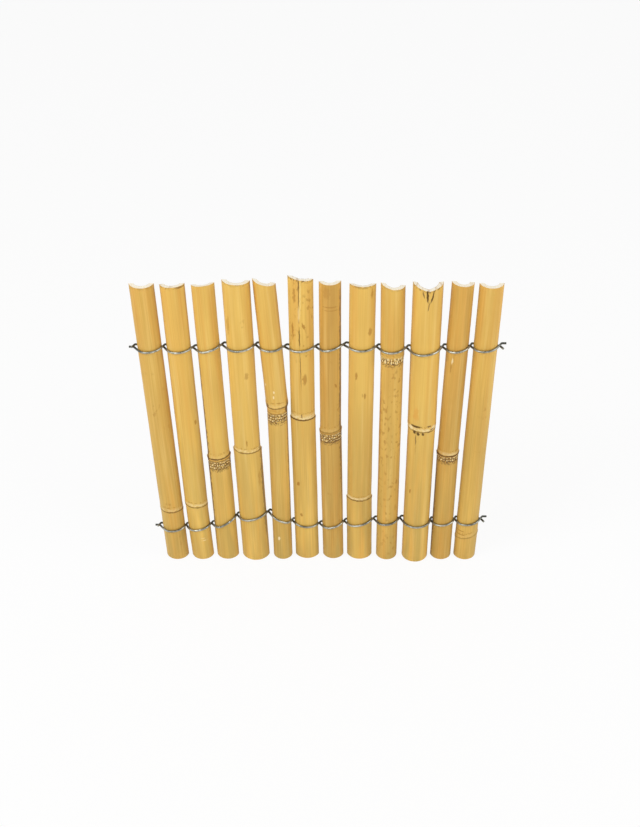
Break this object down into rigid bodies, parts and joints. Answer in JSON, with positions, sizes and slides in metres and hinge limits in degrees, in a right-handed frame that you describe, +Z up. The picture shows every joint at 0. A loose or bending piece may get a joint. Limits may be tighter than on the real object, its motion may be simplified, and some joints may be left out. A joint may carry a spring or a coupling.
{
  "type": "reed screening mat",
  "caption": "Screening mat of split half-round reed canes, side by side, bound across by rows of twisted wire; ties to a fence or rail as a privacy screen.",
  "frame": {"origin": "middle of the mat's feet: centred on its box in X and Y, with the sawn feet at Z = 0", "axes": "+X along the mat, +Z up the canes, and the rounded sides of the canes face -Y"},
  "size_m": [0.1625, 0.0082, 0.1579],
  "materials": {
    "cane": "satin, natural dried cane",
    "binding_wire": "galvanised"
  },
  "bodies": {
    "root": {"cane_01": "cane", "cane_02": "cane", "cane_03": "cane", "cane_04": "cane", "cane_05": "cane", "cane_06": "cane", "cane_07": "cane", "cane_08": "cane", "cane_09": "cane", "cane_10": "cane", "cane_11": "cane", "cane_12": "cane", "lower_wire_first": "binding_wire", "lower_wire_second": "binding_wire", "upper_wire_first": "binding_wire", "upper_wire_second": "binding_wire"}
  },
  "joints": []
}
